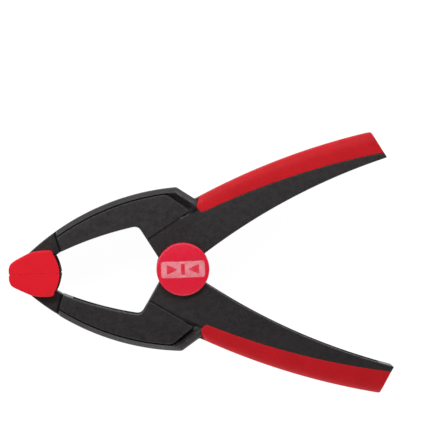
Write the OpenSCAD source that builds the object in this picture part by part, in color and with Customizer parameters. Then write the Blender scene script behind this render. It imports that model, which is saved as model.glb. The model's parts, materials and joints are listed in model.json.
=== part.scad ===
// Hand spring clamp: two moulded arms crossed by a steel pin, closed by a
// torsion spring, with swivelling pads on the jaws and soft grips on the handles.
// The clamp lies flat. Origin: centre of the rear cap's outer face. +Z runs along
// the pivot, +X towards the handles and +Y towards the upper arm.

/* [Body] */
// Depth of each arm over its flat side faces
body_d = 26; // [25:0.5:27]
// Height of the raised panel on each side of a jaw
panel_rise = 0.6; // [0.3:0.1:0.8]
// Thickness of the side walls beside the channels
wall = 2.6; // [2.2:0.1:3]
// Thickness of the outer web along the back of an arm
web = 2.8; // [2.4:0.1:3.2]
// Thickness of the ribs in the channels
rib = 1.8; // [1.4:0.1:2.2]

/* [Pivot] */
// Depth over both caps
overall_d = 32; // [31.5:0.5:34]
// Radius of the caps
cap_r = 10.95; // [10.8:0.05:11.5]
// Radius of the hinge ears under the caps
ear_r = 10.2; // [9.5:0.1:10.2]
// Radius of the pivot pin
pin_r = 3; // [2.6:0.1:3.2]
// Radial clearance of the running fits
running = 0.05; // [0.02:0.01:0.08]

/* [Spring] */
// Diameter of the spring wire
wire_d = 2; // [1.8:0.1:2.1]
// Mean radius of the coil
coil_r = 5.2; // [5:0.1:5.6]
// Length of each straight leg
leg_l = 48; // [40:1:50]
// Direction of each leg, measured from the clamp's centre line
leg_angle = 37; // [36:0.5:37]

/* [Pads] */
// Depth of the pads
pad_d = 26; // [24:0.5:26]
// Thickness of the soft cover on a pad's sides
cover_t = 1.6; // [1.2:0.1:2]
// Radius of the pad's hinge pin
pad_pin_r = 1.4; // [1.2:0.1:1.5]
// Thickness of the nose that the pad straddles
nose_d = 15.2; // [14:0.2:15.4]

/* [Grips] */
// Thickness of the soft grip on the handle's back
grip_back = 2.4; // [1.8:0.1:2.6]
// Thickness of the soft grip on the handle's sides
grip_side = 1.8; // [1.4:0.1:2]

/* [Hidden] */
$fn = 96;
big_fn = 720;

mid_z = overall_d / 2;
half_d = body_d / 2;
black = "#2b2b2d";
red = "#d8202f";
steel = "#b9bcc0";

// Every outline below is the upper arm's, about the pivot, with the jaws closed.
// The lower arm is the same moulding turned half a turn about the X axis.

// Long arcs: [centre, radius]
jaw_back = [[3.8, -68], 102];
jaw_inside = [[7.2, -124.4], 145];
handle_back = [[136.1, -230.8], 290.4];
handle_inside = [[158.7, -205.1], 258.8];
grip_line = [[132.8, -259.6], 308.7];

// Corners of the outline
back_corner = [-1.6, 33.9];
notch = [5.9, 28.77];
throat_corner = [-17.9, 18.4];
throat_foot = [-9.6, 4.5];
throat_fillet = 2;
handle_end = [[76.3, 58.5], [88.5, 39]];

// Hinge ears, as distances from the middle plane: one outer ear and, on the
// other side, one inner ear, so that two equal arms interleave
ear_in = 6;
ear_split = 9.4;
ear_gap = 0.2;
recess_r = ear_r + 0.4;
hub_r = 16;
washer_r = 6;
washer_t = 0.55;
counterbore = 0.5;
rib_z = 2.4;
head_r = 5;
head_t = 1.4;
cap_gap = 0.15;
cap_edge = 0.9;
ring_t = 0.8;

// The nose and the pad's hinge in it
pad_axis = [-60.5, 6];
nose_r = 3.4;
nose_root = [-50.2, 8.8];
nose_tip = [-64.2, 8];
panel_front = [[-51.9, 16.4], [-50, 9.8]];
shoulder = 1.6;
swivel = 24;
pad_clear = 0.25;
pocket_d = nose_d + 0.4;
floor_t = 1.2;
core_inset = 1;
flange = 0.5;

// Ribs in the channels: where the cross ribs stand along each channel, how far
// the ribs stay below the channel's mouth, and the core's wall under the grip
jaw_ribs = [-38.5, -29.5, -20.5];
jaw_rib_fan = 0.45;
handle_ribs = [47, 57, 67];
handle_rib_angle = 68;
jaw_rib_sink = 0.8;
handle_rib_sink = 2.5;
core_wall = 2.2;

function turn(p, a) = [p[0] * cos(a) - p[1] * sin(a), p[0] * sin(a) + p[1] * cos(a)];
function heading(a, b) = atan2(b[1] - a[1], b[0] - a[0]);

// Point where the line from p touches the circle of radius r round c.
// side is 1 for the touch point that lies anticlockwise from p, -1 for clockwise.
function touch(c, r, p, side) =
    c + r * turn([1, 0], heading(c, p) + side * acos(r / norm(p - c)));

module disc(arc, grow = 0) translate(arc[0]) circle(r = arc[1] + grow, $fn = big_fn);

module slab(half) translate([0, 0, -half]) linear_extrude(2 * half) children();

module level(low, high) translate([0, 0, low]) linear_extrude(high - low) children();

module nose_2d() {
    translate(pad_axis) circle(nose_r);
    polygon([touch(pad_axis, nose_r, nose_tip, 1), nose_tip, [-58, 13.2], [-49, 17.5], [-48, 9.7], nose_root,
        touch(pad_axis, nose_r, nose_root, -1)]);
}

module jaw_2d() intersection() {
    disc(jaw_back);
    union() {
        nose_2d();
        difference() {
            polygon([[-52, 8], [-52, 30], [-30, 36], [back_corner[0], 36], back_corner, notch, [12, 12], [0, 0],
                throat_foot, throat_corner, [-20, 12], [-50, 2]]);
            intersection() {
                disc(jaw_inside);
                translate([-60, 0]) square([60 + throat_corner[0], 25]);
            }
        }
        // Fillet in the throat corner
        difference() {
            polygon([throat_corner + [-3, 0.6], throat_corner + [0.6, 0.8], throat_corner + [1.6, -2.5]]);
            translate(throat_corner + [-2.05, -2.6]) circle(throat_fillet);
        }
    }
}

module handle_2d() difference() {
    intersection() {
        disc(handle_back);
        polygon([[-4, 10], notch, notch + [0, 12], handle_end[0], handle_end[1], [40, 0], [4, 0]]);
    }
    disc(handle_inside);
}

module arm_2d() {
    jaw_2d();
    handle_2d();
}

// The part of the handle's side that the soft grip covers
module grip_2d() difference() {
    intersection() {
        disc(handle_back);
        polygon([[7.6, 23.1], [6.4, 25.2], [6.3, 28], [7.4, 40], handle_end[0], handle_end[1], [60, 20]]);
    }
    disc(grip_line);
}

// The handle's core under the grip
module grip_core_2d() intersection() {
    grip_2d();
    disc(handle_back, -grip_back);
    translate(handle_end[0]) rotate(heading(handle_end[0], handle_end[1]))
        translate([-200, -200]) square([400, 200 - grip_back]);
    translate([8.2, 0]) square([100, 100]);
}

// Raised flat on the side of the jaw
module panel_2d() intersection() {
    disc(jaw_back, -2);
    polygon([panel_front[0] + [-0.3, 1], [-50, 30], [-4.8, 31], [3.4, 24], [-13.8, 13.2], throat_corner,
        [-20, 17.5], panel_front[1]]);
    jaw_2d();
}

// Side view of the nose: full depth behind the panel's front edge, thin before it
module nose_side() translate(panel_front[1]) rotate(heading(panel_front[1], panel_front[0]) - 90)
    rotate([90, 0, 0]) linear_extrude(80, center = true)
        polygon([[-30, -nose_d / 2], [-shoulder, -nose_d / 2], [0, -half_d - panel_rise], [200, -half_d - panel_rise],
            [200, half_d + panel_rise], [0, half_d + panel_rise], [-shoulder, nose_d / 2], [-30, nose_d / 2]]);

module outer_form() intersection() {
    union() {
        slab(half_d) difference() {
            arm_2d();
            grip_2d();
        }
        slab(half_d - grip_side) grip_core_2d();
        slab(half_d + panel_rise) panel_2d();
    }
    nose_side();
}

// Hollow of the jaw, open towards the other jaw
module jaw_channel_2d() intersection() {
    disc(jaw_back, -web);
    polygon([[-46.5, 0], [-47.6, 25], [-20, 32], [-6, 29.8], [0, 24.6], [-13, 16.4], [-14.5, 15.6], [-15, 10],
        [-25, 0]]);
}

// Hollow of the handle, open towards the other handle
module handle_channel_2d() intersection() {
    disc(handle_back, -grip_back - web);
    polygon([[-8.6, 14.2], [4.5, 22.4], [7, 40], [71.5, 60], [83, 38], [40, 0], [4, 0], [-9, 6]]);
}

// Cross ribs: those of the jaw stand at right angles to its back
module channel_ribs_2d() {
    for (x = jaw_ribs) translate([x, 0]) rotate(90 + (x + jaw_back[0][0]) * jaw_rib_fan)
        translate([16, -rib / 2]) square([24, rib]);
    for (x = handle_ribs) translate([x, 24 + (x - handle_ribs[0]) / 2]) rotate(handle_rib_angle)
        translate([2, -rib / 2]) square([30, rib]);
}

// Band along the mouths of the channels, which the ribs leave free
module mouth_2d() {
    disc(handle_inside, handle_rib_sink);
    intersection() {
        disc(jaw_inside, jaw_rib_sink);
        translate([-70, 0]) square([74 + throat_corner[0], 40]);
    }
}

module hollows() difference() {
    union() {
        slab(half_d - wall) jaw_channel_2d();
        slab(half_d - wall) intersection() {
            handle_channel_2d();
            difference() {
                disc(grip_line, -1);
                circle(hub_r);
            }
        }
        slab(half_d - grip_side - core_wall) difference() {
            handle_channel_2d();
            circle(hub_r);
        }
        slab(ear_in) handle_channel_2d();
    }
    slab(half_d) difference() {
        channel_ribs_2d();
        mouth_2d();
    }
    // Two lengthwise ribs, which stop short of the coil and pass beside the spring's leg
    for (side = [-1, 1]) translate([0, 0, side * rib_z]) slab(rib / 2) difference() {
        square(220, center = true);
        circle(hub_r - 3);
        mouth_2d();
    }
}

module arm() color(black) difference() {
    union() {
        difference() {
            outer_form();
            hollows();
            cylinder(h = 2 * body_d, r = recess_r, center = true);
        }
        level(ear_split + ear_gap / 2, half_d) ear_2d();
        level(-ear_split + ear_gap / 2, -ear_in) ear_2d();
    }
    cylinder(h = 2 * body_d, r = pin_r + running, center = true);
    translate([0, 0, half_d - counterbore]) cylinder(h = body_d, r = washer_r + 0.3);
    translate([0, 0, -body_d - half_d + counterbore]) cylinder(h = body_d, r = washer_r + 0.3);
    translate([pad_axis[0], pad_axis[1], 0]) cylinder(h = body_d, r = pad_pin_r + running, center = true, $fn = 48);
}

module ear_2d() {
    circle(ear_r);
    intersection() {
        arm_2d();
        circle(hub_r - 3);
    }
}

module grip() color(red) difference() {
    slab(half_d) grip_2d();
    slab(half_d - grip_side) grip_core_2d();
}

module pad_2d() polygon([[-71.6, 0], [-72, 0.5], [-72, 2.2], [-71.3, 4.2], [-70.2, 5.2], [-68.4, 6.2], [-65.1, 7.8],
    [-62.8, 8.8], [-60.1, 9.35], [-57, 9.55], [-55, 9.5], [-54, 9.2], [-53.2, 8.3], [-51.9, 6], [-50.9, 3],
    [-50.4, 0.5], [-50.8, 0]]);

// The slot that the nose swings in, seen in the pad's own frame
module pocket_2d() {
    low = touch(pad_axis, nose_r + pad_clear, pad_axis + turn(nose_root - pad_axis, -swivel), -1);
    translate(pad_axis) circle(nose_r + pad_clear);
    polygon([pad_axis - [nose_r + pad_clear, 0], nose_tip - [pad_clear, 0], [nose_tip[0] - pad_clear, 12], [-46, 12],
        low + 14 * turn([1, 0], heading(low, pad_axis + turn(nose_root - pad_axis, -swivel) - [0, pad_clear])), low]);
}

module shoe_2d() intersection() {
    pad_2d();
    translate([core_inset, -core_inset * 1.2]) pad_2d();
    translate([-70.2, floor_t]) square([30, 20]);
}

module rear_band_2d() difference() {
    pad_2d();
    translate([-flange, 0]) pad_2d();
    translate([-80, -1]) square([25, 20]);
    translate([-80, -1]) square([40, 1 + floor_t]);
}

module shoe_solid() {
    slab(pad_d / 2 - cover_t) shoe_2d();
    slab(pad_d / 2) rear_band_2d();
}

module pad_shoe() color(black) difference() {
    shoe_solid();
    slab(pocket_d / 2) pocket_2d();
    translate([pad_axis[0], pad_axis[1], 0]) cylinder(h = body_d, r = pad_pin_r, center = true, $fn = 48);
}

module pad_cover() color(red) difference() {
    slab(pad_d / 2) pad_2d();
    shoe_solid();
    slab(pocket_d / 2) pocket_2d();
}

module pad_pin() color(steel) translate([pad_axis[0], pad_axis[1], 0])
    cylinder(h = pad_d - 2 * cover_t, r = pad_pin_r, center = true, $fn = 48);

module washer() color(steel) translate([0, 0, half_d - counterbore + running]) difference() {
    cylinder(h = washer_t, r = washer_r);
    translate([0, 0, -1]) cylinder(h = 3, r = pin_r + 0.1);
}

washer_top = half_d - counterbore + running + washer_t;

module pivot_pin() color(steel) {
    translate([0, 0, -washer_top - ring_t - 0.6]) cylinder(h = 2 * washer_top + ring_t + 0.6, r = pin_r);
    translate([0, 0, washer_top]) cylinder(h = head_t, r = head_r);
}

module lock_ring() color(steel) translate([0, 0, -washer_top - ring_t]) difference() {
    cylinder(h = ring_t, r = head_r);
    translate([0, 0, -1]) cylinder(h = 3, r = pin_r);
}

// Round cap with a softened rim, pushed over the head of the pin
module cap() color(red) {
    under = half_d + cap_gap;
    difference() {
        rotate_extrude() {
            translate([0, under]) square([cap_r - cap_edge, mid_z - under]);
            translate([0, under]) square([cap_r, mid_z - under - cap_edge]);
            translate([cap_r - cap_edge, mid_z - cap_edge]) circle(cap_edge);
        }
        translate([0, 0, under - 1]) cylinder(h = 1 + washer_top + head_t - under + running, r = head_r + running);
    }
}

// Spring: from the lower leg's end, clockwise round the pin, to the upper leg's end
coil_turns = 4 + (360 - 2 * (leg_angle + 90)) / 360;
coil_pitch = 2.15;
coil_low = -coil_turns * coil_pitch / 2;
coil_steps = 110;
sides = 10;
hook = 4;
function coil_point(i) = let (a = -(leg_angle + 90) - 360 * coil_turns * i / coil_steps)
    [coil_r * cos(a), coil_r * sin(a), coil_low + coil_turns * coil_pitch * i / coil_steps];
leg_far = concat(turn([leg_l, coil_r], leg_angle), -coil_low);
leg_hook = leg_far + concat(turn([hook, 0], leg_angle - 16), 0);
wire_path = concat(
    [[leg_hook[0], -leg_hook[1], coil_low], [leg_far[0], -leg_far[1], coil_low]],
    [for (i = [0 : coil_steps]) coil_point(i)],
    [leg_far, leg_hook]);

module wire(path, r, n) {
    last = len(path) - 1;
    function ring(i) = let (
        t = path[min(i + 1, last)] - path[max(i - 1, 0)],
        across = cross(t, [0, 0, 1]) / norm(cross(t, [0, 0, 1])),
        up = cross(across, t) / norm(cross(across, t)))
        [for (k = [0 : n - 1]) path[i] + r * (cos(360 * k / n) * across + sin(360 * k / n) * up)];
    polyhedron(
        points = [for (i = [0 : last], p = ring(i)) p],
        faces = concat(
            [[for (k = [0 : n - 1]) k]],
            [[for (k = [0 : n - 1]) last * n + n - 1 - k]],
            [for (i = [0 : last - 1], k = [0 : n - 1])
                [i * n + k, (i + 1) * n + k, (i + 1) * n + (k + 1) % n, i * n + (k + 1) % n]]));
}

module spring() color(steel) wire(wire_path, wire_d / 2, sides);

module upper() translate([0, 0, mid_z]) children();

module lower() translate([0, 0, mid_z]) rotate([180, 0, 0]) children();

lower() arm();  // lower_arm
upper() arm();  // upper_arm
lower() grip();  // lower_grip
upper() grip();  // upper_grip
lower() pad_shoe();  // lower_pad_shoe
upper() pad_shoe();  // upper_pad_shoe
lower() pad_cover();  // lower_pad_cover
upper() pad_cover();  // upper_pad_cover
lower() pad_pin();  // lower_pad_pin
upper() pad_pin();  // upper_pad_pin
upper() pivot_pin();
upper() lock_ring();
upper() washer();  // front_washer
lower() washer();  // rear_washer
upper() cap();  // front_cap
lower() cap();  // rear_cap
upper() spring();
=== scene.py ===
"""Spring clamp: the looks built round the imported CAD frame.

Shapes are worked out in millimetres in the clamp's own plane: the pivot is the origin, X runs to the
handles, Y to the upper arm and Z along the pivot, with z = 0 in the middle plane. place() moves them to
the frame, in metres. Every shape is the upper arm's; the lower arm is the same one turned over.
"""
import json
import math

import bmesh
import bpy
import numpy as np
from mathutils import Matrix, Vector
from mathutils.geometry import delaunay_2d_cdt


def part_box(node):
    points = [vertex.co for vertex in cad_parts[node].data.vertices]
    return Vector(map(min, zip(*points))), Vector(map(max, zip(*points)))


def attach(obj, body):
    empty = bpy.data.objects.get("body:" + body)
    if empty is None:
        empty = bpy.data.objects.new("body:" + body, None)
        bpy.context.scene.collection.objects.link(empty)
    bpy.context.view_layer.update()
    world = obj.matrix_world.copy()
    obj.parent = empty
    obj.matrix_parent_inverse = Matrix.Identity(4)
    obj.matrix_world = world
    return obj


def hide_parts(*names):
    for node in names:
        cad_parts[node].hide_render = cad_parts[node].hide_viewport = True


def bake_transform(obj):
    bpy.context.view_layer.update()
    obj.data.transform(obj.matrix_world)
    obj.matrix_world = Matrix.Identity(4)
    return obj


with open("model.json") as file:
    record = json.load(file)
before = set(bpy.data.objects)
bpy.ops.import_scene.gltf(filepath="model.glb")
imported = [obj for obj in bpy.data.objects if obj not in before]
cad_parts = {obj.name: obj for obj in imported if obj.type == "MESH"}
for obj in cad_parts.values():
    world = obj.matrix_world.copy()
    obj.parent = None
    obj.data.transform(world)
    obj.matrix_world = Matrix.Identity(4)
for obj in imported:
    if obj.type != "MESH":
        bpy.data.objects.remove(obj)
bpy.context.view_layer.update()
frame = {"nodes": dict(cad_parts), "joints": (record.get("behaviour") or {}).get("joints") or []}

MM = 0.001
JOINTS = {j["name"]: j for j in frame["joints"]}
PIVOT = Vector(JOINTS["arm_pivot"]["pos_m"])
PAD_AXIS = (np.array(JOINTS["upper_pad_swivel"]["pos_m"]) - np.array(PIVOT))[:2] / MM


def cad_mm(node):
    """Lowest and highest corner of a CAD node in the clamp's own millimetres."""
    low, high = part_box(node)
    return (np.array(low) - np.array(PIVOT)) / MM, (np.array(high) - np.array(PIVOT)) / MM


HALF = cad_mm("upper_grip")[1][2]
PANEL_TOP = cad_mm("upper_arm")[1][2]
PAD_HALF = cad_mm("upper_pad_cover")[1][2]
CAP_TOP = cad_mm("front_cap")[1][2]
CAP_UNDER = cad_mm("front_cap")[0][2]
CAP_R = cad_mm("front_cap")[1][0]
PIN_R = 3.0
PAD_PIN_R = 1.4
RUNNING = 0.05

# Long arcs of the outline: centre x, centre y, radius
JAW_BACK = (3.8, -68.0, 102.0)
JAW_INSIDE = (7.2, -124.4, 145.0)
HANDLE_BACK = (136.1, -230.8, 290.4)
HANDLE_INSIDE = (158.7, -205.1, 258.8)
GRIP_LINE = (132.8, -259.6, 308.7)

# Corners of the outline and of the raised panel
BACK_CORNER = (-1.6, 33.9)
NOTCH = (5.9, 28.77)
THROAT_CORNER = (-17.9, 18.4)
THROAT_FOOT = (-9.6, 4.5)
NOSE_ROOT = (-50.2, 8.8)
NOSE_TIP = (-64.2, 8.0)
END_OUTER = (79.6, 54.05)
END_GRIP = (84.75, 45.25)
END_INNER = (86.0, 43.28)
PANEL_FRONT = ((-51.9, 16.4), (-50.0, 9.8))
PANEL_REAR = ((-5.7, 31.1), (3.4, 24.0))
PANEL_LOW = ((3.4, 24.0), (-13.8, 13.2))

# Front end of the soft grip, from the panel's side to the handle's back
GRIP_START = ((8.6, 23.05), (6.3, 25.3), (7.6, 29.6))

# Depths and thicknesses
WEB = 2.8
WALL = 2.6
RIB = 1.8
RIB_Z = 2.4
GRIP_BACK = 2.4
GRIP_SIDE = 1.8
NOSE_R = 3.4
NOSE_HALF = 7.6
SEAT_R = 6.3
SEAT_DEPTH = 0.5
RECESS_R = 10.6
EAR_R = 10.2
EAR_IN = 6.0
EAR_SPLIT = 9.4
EAR_GAP = 0.2
HUB_R = 16.0
EDGE_R = 0.45
# Distances from an outline at which rows of vertices follow a rounded edge
EDGE_RINGS = (0.035, 0.13, 0.28, 0.45)


# -------- plane curves

def unit(v):
    """The direction of a vector, with length 1."""
    return np.asarray(v, float) / np.linalg.norm(v)


def grown(arc, by):
    """An arc about the same centre with a larger radius."""
    return arc[0], arc[1], arc[2] + by


def past_arc(q, arc):
    """How far each point of q lies outside an arc."""
    return np.hypot(q[:, 0] - arc[0], q[:, 1] - arc[1]) - arc[2]


def arc_y(arc, x):
    """Height of the upper side of an arc at x."""
    return arc[1] + np.sqrt(arc[2] ** 2 - (np.asarray(x, float) - arc[0]) ** 2)


def along(arc, x0, x1, step=0.9, grow=0.0):
    """Points along the upper side of an arc, from x0 to x1."""
    x = np.linspace(x0, x1, max(2, round(abs(x1 - x0) / step)))
    return np.column_stack([x, arc_y(grown(arc, grow), x)])


def straight(a, b, step=0.9):
    """Points along a straight line from a to b."""
    a, b = np.asarray(a, float), np.asarray(b, float)
    t = np.linspace(0, 1, max(2, round(np.linalg.norm(b - a) / step)))
    return a + np.outer(t, b - a)


def around(centre, radius, start, end, step=0.6):
    """Points round a circle from one angle to another, in degrees."""
    count = max(3, round(abs(math.radians(end - start)) * radius / step))
    a = np.radians(np.linspace(start, end, count))
    return np.asarray(centre, float) + radius * np.column_stack([np.cos(a), np.sin(a)])


def heading_of(p):
    """Heading in degrees of a point seen from the pivot."""
    return math.degrees(math.atan2(p[1], p[0]))


def touch(centre, radius, p, side):
    """Angle in degrees at which the line from p touches a circle.

    side is 1 for the touch point that lies anticlockwise of p, -1 for the other one.
    """
    d = np.asarray(p, float) - np.asarray(centre, float)
    return math.degrees(math.atan2(d[1], d[0]) + side * math.acos(radius / np.linalg.norm(d)))


def loop_of(*runs):
    """One closed loop from runs of points, without doubled points."""
    points = np.vstack(runs)
    gap = np.linalg.norm(points - np.roll(points, 1, 0), axis=1)
    return points[gap > 0.02]


def soften(loop, *corners, count=6):
    """Rounds corners of a closed loop. Each corner is (point, distance trimmed each way)."""
    for corner, trim in corners:
        near = np.linalg.norm(loop - np.asarray(corner, float), axis=1)
        tip = int(np.argmin(near))
        loop = np.roll(loop, -tip, 0)
        n = len(loop)
        ahead = next(i for i in range(1, n) if np.linalg.norm(loop[i] - loop[0]) >= trim)
        behind = next(i for i in range(1, n) if np.linalg.norm(loop[-i] - loop[0]) >= trim)
        a = loop[0] + unit(loop[-behind] - loop[0]) * trim
        b = loop[0] + unit(loop[ahead] - loop[0]) * trim
        t = np.linspace(0, 1, count)[:, None]
        bend = (1 - t) ** 2 * a + 2 * t * (1 - t) * loop[0] + t ** 2 * b
        loop = np.vstack([bend, loop[ahead:n - behind + 1]])
    return loop


def distance(q, line, closed=True):
    """Distance from each point of q to a polyline."""
    a = np.asarray(line, float)
    b = np.roll(a, -1, 0) if closed else a[1:]
    a = a if closed else a[:-1]
    best = np.full(len(q), 1e9)
    for start in range(0, len(a), 64):
        p, d = a[start:start + 64], (b - a)[start:start + 64]
        rel = q[:, None, :] - p[None]
        t = np.clip((rel * d).sum(2) / np.maximum((d * d).sum(1), 1e-12), 0, 1)
        best = np.minimum(best, np.linalg.norm(rel - t[..., None] * d, axis=2).min(1))
    return best


def inside(q, loop):
    """Whether each point of q lies inside a closed loop."""
    x, y = q[:, 0][:, None], q[:, 1][:, None]
    a, b = loop, np.roll(loop, -1, 0)
    crosses = (a[:, 1] > y) != (b[:, 1] > y)
    span = np.where(b[:, 1] == a[:, 1], 1e-12, b[:, 1] - a[:, 1])
    hit = x < a[:, 0] + (y - a[:, 1]) * (b[:, 0] - a[:, 0]) / span
    return (crosses & hit).sum(1) % 2 == 1


def beside(q, a, b):
    """Signed distance of each point of q from the line a to b, positive on its left."""
    d = unit(np.subtract(b, a))
    rel = q - np.asarray(a, float)
    return d[0] * rel[:, 1] - d[1] * rel[:, 0]


def inset(line, depth, closed=True):
    """Each point of a polyline moved to its left by depth."""
    if closed:
        d = np.roll(line, -1, 0) - np.roll(line, 1, 0)
    else:
        d = np.gradient(line, axis=0)
    d /= np.maximum(np.linalg.norm(d, axis=1), 1e-12)[:, None]
    return line + depth * np.column_stack([-d[:, 1], d[:, 0]])


def ease(x):
    """Smooth step from 0 to 1 while x goes from 0 to 1."""
    x = np.clip(x, 0, 1)
    return x * x * (3 - 2 * x)


def round_off(d, r):
    """How far a rounded edge of radius r has dropped at distance d from the edge."""
    k = np.clip(r - d, 0, r)
    return r - np.sqrt(r * r - k * k)


# -------- solids

def chain(first, order):
    """Edges that join neighbours of a row of vertices, where order holds the places kept of the row."""
    return [(first + i, first + i + 1) for i in range(len(order) - 1) if order[i + 1] == order[i] + 1]


def feature_rows(loop, rings, curves):
    """Points on the outline, on rings inside it and along feature lines, with the edges between them."""
    points = [loop]
    count = len(loop)
    edges = [(i, (i + 1) % count) for i in range(count)]
    for depth in rings:
        ring = inset(loop, depth)
        keep = distance(ring, loop) > depth * 0.97
        ring = ring[keep]
        edges += chain(count, np.flatnonzero(keep))
        if keep[0] and keep[-1]:
            edges.append((count + len(ring) - 1, count))
        points.append(ring)
        count += len(ring)
    for line, offsets in curves:
        for offset in offsets:
            row = inset(np.asarray(line, float), offset, closed=False)
            keep = inside(row, loop) & (distance(row, loop) > 0.02)
            edges += chain(count, np.flatnonzero(keep))
            points.append(row[keep])
            count += len(row[keep])
    return np.vstack(points), edges


def fill_points(loop, rings, curves, spacing):
    """A triangular grid of points inside the outline, clear of its rings and feature lines."""
    low, high = loop.min(0), loop.max(0)
    columns = np.arange(low[0], high[0], spacing)
    rows = np.arange(low[1], high[1], spacing * 0.87)
    gx, gy = np.meshgrid(columns, rows)
    gx[1::2] += spacing / 2
    grid = np.column_stack([gx.ravel(), gy.ravel()])
    margin = spacing * 0.45
    clear = max(rings) if len(rings) else 0.0
    grid = grid[inside(grid, loop)]
    grid = grid[distance(grid, loop) > clear + margin]
    for line, offsets in curves:
        reach = max(abs(o) for o in offsets)
        grid = grid[distance(grid, line, closed=False) > reach + margin]
    return grid


def triangles(points, edges, loop):
    """Anticlockwise triangles that fill the outline and keep the edges, with the points they use."""
    co, _, faces, _, _, _ = delaunay_2d_cdt([Vector(p) for p in points], edges, [], 0, 1e-4)
    co = np.array([tuple(c) for c in co])
    faces = np.array([f for f in faces if len(f) == 3])
    faces = faces[inside(co[faces].mean(1), loop)]
    a, b, c = co[faces].transpose(1, 0, 2)
    turn = (b - a)[:, 0] * (c - a)[:, 1] - (b - a)[:, 1] * (c - a)[:, 0]
    real = np.abs(turn) > 1e-9
    faces = faces[real]
    faces = np.where((turn[real] < 0)[:, None], faces[:, ::-1], faces)
    used = np.unique(faces)
    renumber = np.full(len(co), -1)
    renumber[used] = np.arange(len(used))
    return co[used], renumber[faces]


def plate(loop, top, bottom=None, rings=EDGE_RINGS, curves=(), spacing=1.7):
    """A closed solid over one anticlockwise outline, between two height fields.

    rings are inset distances that get rows of vertices. curves are (points, offsets) of feature
    lines inside, each with parallel rows of vertices. Returns vertices and faces.
    """
    points, edges = feature_rows(loop, rings, curves)
    grid = fill_points(loop, rings, curves, spacing)
    co, faces = triangles(np.vstack([points, grid]), edges, loop)
    z_top = top(co)
    z_low = -z_top if bottom is None else bottom(co)
    m = len(co)
    verts = np.vstack([np.column_stack([co, z_top]), np.column_stack([co, z_low])])
    seen = dict.fromkeys((f[i], f[(i + 1) % 3]) for f in faces.tolist() for i in range(3))
    walls = [(j, i, i + m, j + m) for i, j in seen if (j, i) not in seen]
    return verts, [tuple(f) for f in faces] + [tuple(f[::-1] + m) for f in faces] + walls


def flat_plate(loop, low, high):
    """A plain slab over an outline, between two heights."""
    return plate(loop, lambda q: np.full(len(q), high), lambda q: np.full(len(q), low),
                 rings=(), spacing=50.0)


def lathe(profile, count=96):
    """A closed solid turned round the Z axis from (radius, z) points; ends on the axis close it."""
    verts, rows = [], []
    for r, z in profile:
        if r < 1e-6:
            rows.append([len(verts)])
            verts.append((0, 0, z))
        else:
            rows.append(list(range(len(verts), len(verts) + count)))
            turns = [2 * math.pi * k / count for k in range(count)]
            verts += [(r * math.cos(a), r * math.sin(a), z) for a in turns]
    faces = []
    pairs = list(zip(rows, rows[1:]))
    if len(rows[0]) > 1:
        pairs.append((rows[-1], rows[0]))
    for a, b in pairs:
        for k in range(count):
            j = (k + 1) % count
            quad = (a[k % len(a)], a[j % len(a)], b[j % len(b)], b[k % len(b)])
            faces.append(tuple(dict.fromkeys(quad)))
    return np.array(verts, float), faces


def tube(sections):
    """A closed solid through rings of equal numbers of points."""
    sections = [np.asarray(s, float) for s in sections]
    n = len(sections[0])
    verts = np.vstack(sections)
    faces = [tuple(range(n))[::-1], tuple(range(len(verts) - n, len(verts)))]
    for i in range(len(sections) - 1):
        for k in range(n):
            j = (k + 1) % n
            faces.append((i * n + k, i * n + j, (i + 1) * n + j, (i + 1) * n + k))
    return verts, faces


def joined(*solids):
    """Several solids as one set of vertices and faces."""
    verts, faces, base = [], [], 0
    for v, f in solids:
        verts.append(v)
        faces += [tuple(int(i) + base for i in face) for face in f]
        base += len(v)
    return np.vstack(verts), faces


def new_object(name, data):
    """An object in the scene that holds the given data."""
    obj = bpy.data.objects.new(name, data)
    bpy.context.scene.collection.objects.link(obj)
    return obj


def make(name, solid):
    """An object, in millimetres about the pivot, from vertices and faces."""
    verts, faces = solid
    mesh = bpy.data.meshes.new(name)
    mesh.from_pydata([tuple(v) for v in verts], [], [tuple(int(i) for i in f) for f in faces])
    mesh.validate()
    bm = bmesh.new()
    bm.from_mesh(mesh)
    bmesh.ops.recalc_face_normals(bm, faces=bm.faces)
    bm.to_mesh(mesh)
    bm.free()
    return new_object(name, mesh)


def combine(obj, other, operation):
    """Joins another solid with obj, cuts it away or keeps what both share, and discards the other."""
    m = obj.modifiers.new("combine", "BOOLEAN")
    m.operation = operation
    m.solver = "EXACT"
    m.use_self = False
    m.object = other
    dg = bpy.context.evaluated_depsgraph_get()
    mesh = bpy.data.meshes.new_from_object(obj.evaluated_get(dg), depsgraph=dg)
    obj.modifiers.clear()
    old = obj.data
    obj.data = mesh
    bpy.data.meshes.remove(old)
    bpy.data.objects.remove(other)


def cut(obj, solid):
    """Cuts a solid away from obj."""
    combine(obj, make("cut", solid), "DIFFERENCE")


def add(obj, solid):
    """Joins a solid with obj."""
    combine(obj, make("added", solid), "UNION")


def shade(obj, degrees=32):
    """Smooth shading that keeps edges sharper than the given angle."""
    mesh = obj.data
    mesh.polygons.foreach_set("use_smooth", [True] * len(mesh.polygons))
    normals = np.array([p.normal for p in mesh.polygons])
    owners = {}
    for p in mesh.polygons:
        for key in p.edge_keys:
            owners.setdefault(key, []).append(p.index)
    limit = math.cos(math.radians(degrees))
    sharp = []
    for edge in mesh.edges:
        sides = owners.get(edge.key, ())
        sharp.append(len(sides) != 2 or float(normals[sides[0]] @ normals[sides[1]]) < limit)
    mesh.edges.foreach_set("use_edge_sharp", sharp)
    weighted = obj.modifiers.new("weighted", "WEIGHTED_NORMAL")
    weighted.keep_sharp = True


def place(obj, lower=False):
    """Moves a shape from the clamp's own millimetres into the frame; lower turns it over first."""
    over = Matrix.Rotation(math.pi, 4, "X") if lower else Matrix.Identity(4)
    obj.data.transform(Matrix.Translation(PIVOT) @ Matrix.Scale(MM, 4) @ over)


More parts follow.
